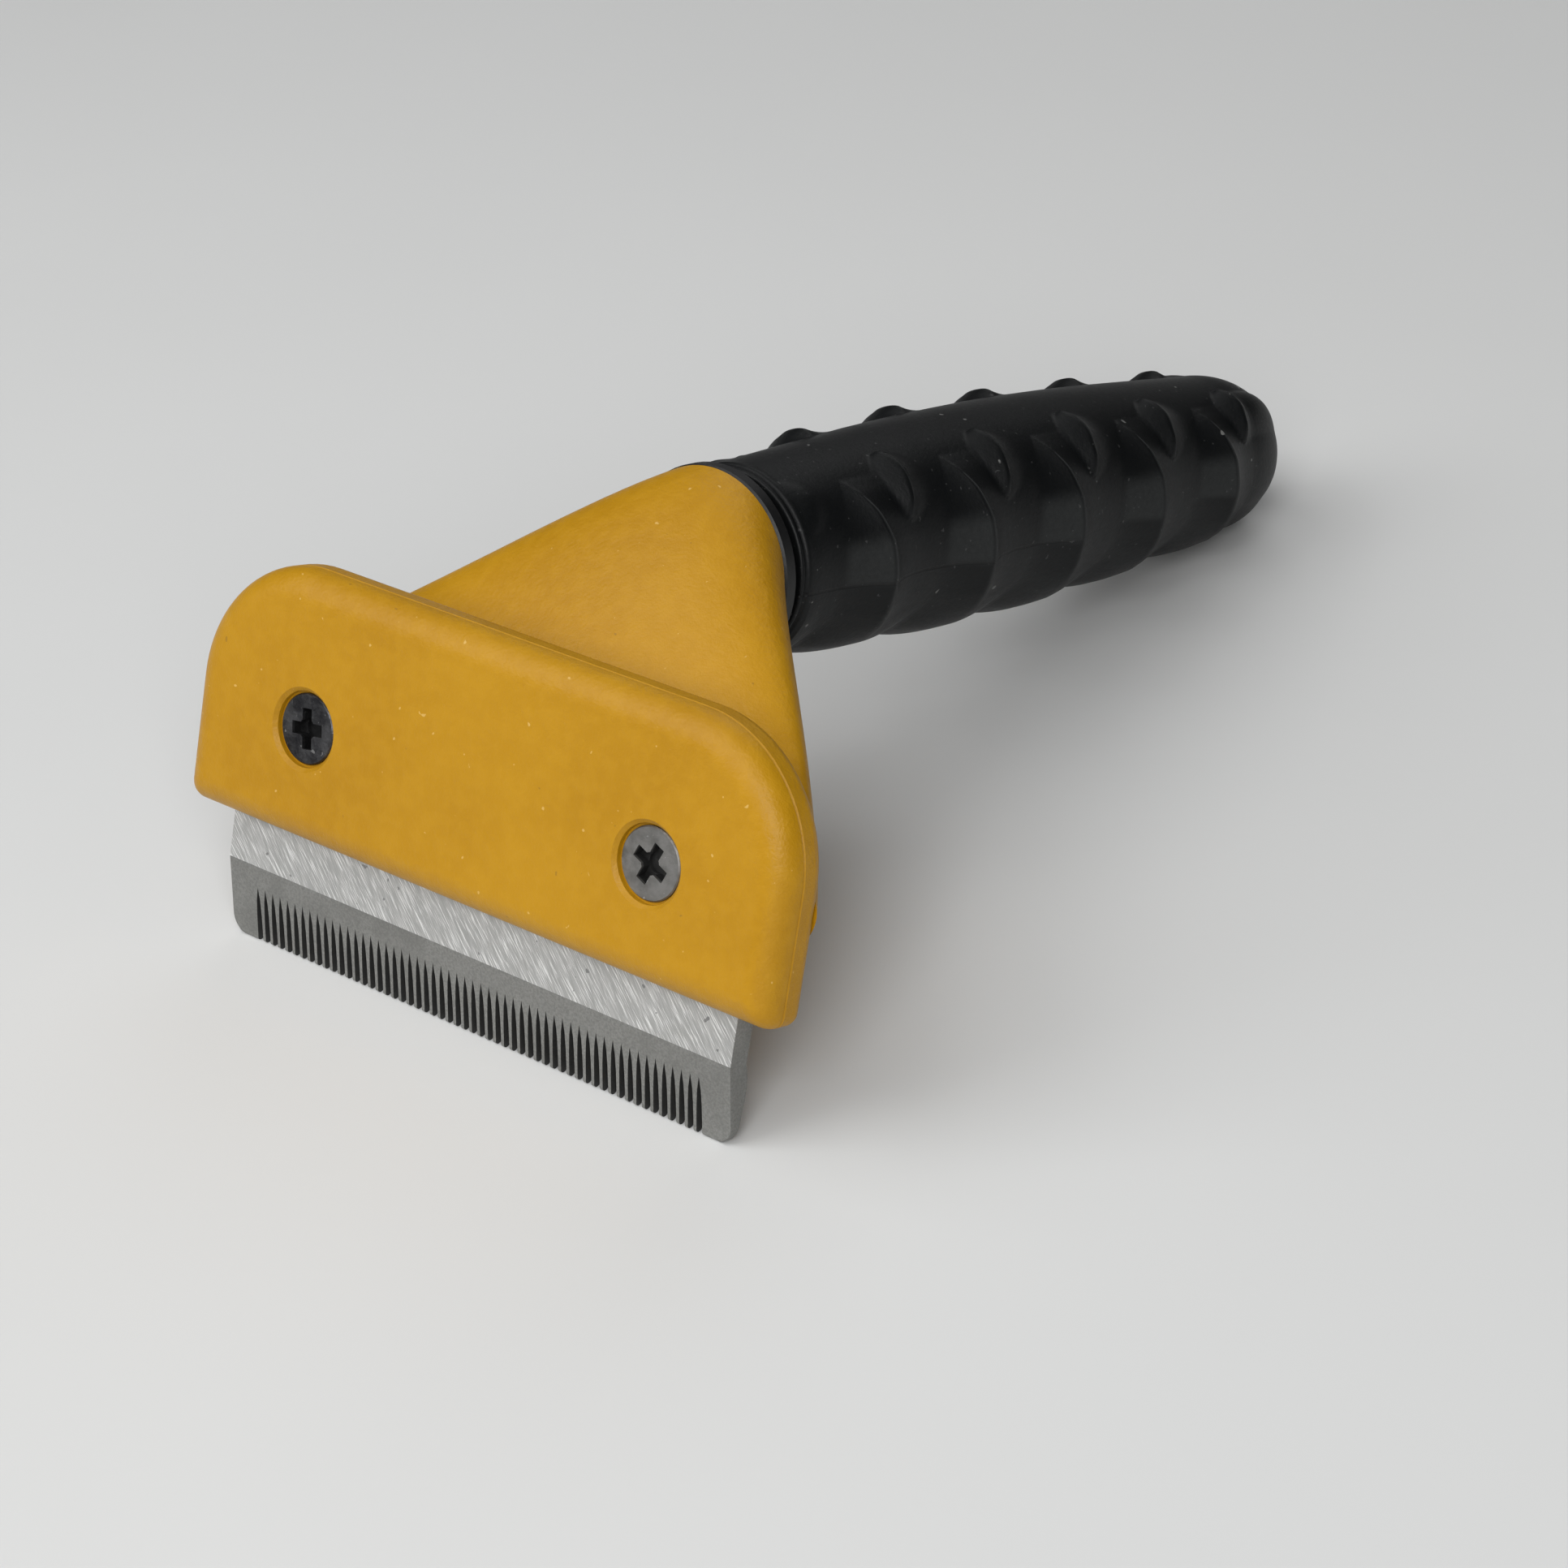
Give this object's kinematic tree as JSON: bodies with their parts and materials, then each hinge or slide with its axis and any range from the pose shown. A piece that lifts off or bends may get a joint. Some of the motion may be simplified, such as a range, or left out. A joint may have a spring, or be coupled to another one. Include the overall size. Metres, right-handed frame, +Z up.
{
  "type": "deshedding tool",
  "caption": "Rake-shaped deshedding tool for pets, with an amber plastic head, a screwed-on face plate, a fine steel comb blade and a black rubber grip with rows of soft fins.",
  "frame": {"origin": "Middle of the footprint, on the table the tool rests on with its tooth tips and butt end.", "axes": "+X along the blade edge, +Y from the blade towards the butt of the handle, +Z up."},
  "size_m": [0.1172, 0.1986, 0.0652],
  "materials": {
    "amber_plastic": "satin, fine moulded texture",
    "blade_steel": "blasted, with a ground strip",
    "screw_steel": "dull machined",
    "insert_brass": "turned",
    "core_plastic": "matt",
    "grip_rubber": "matt moulded"
  },
  "bodies": {
    "root": {"face_plate": "amber_plastic", "comb_blade": "blade_steel", "head_body": "amber_plastic", "screw_left": "screw_steel", "screw_right": "screw_steel", "insert_left": "insert_brass", "insert_right": "insert_brass", "handle_core": "core_plastic", "grip_sleeve": "grip_rubber"}
  },
  "joints": []
}
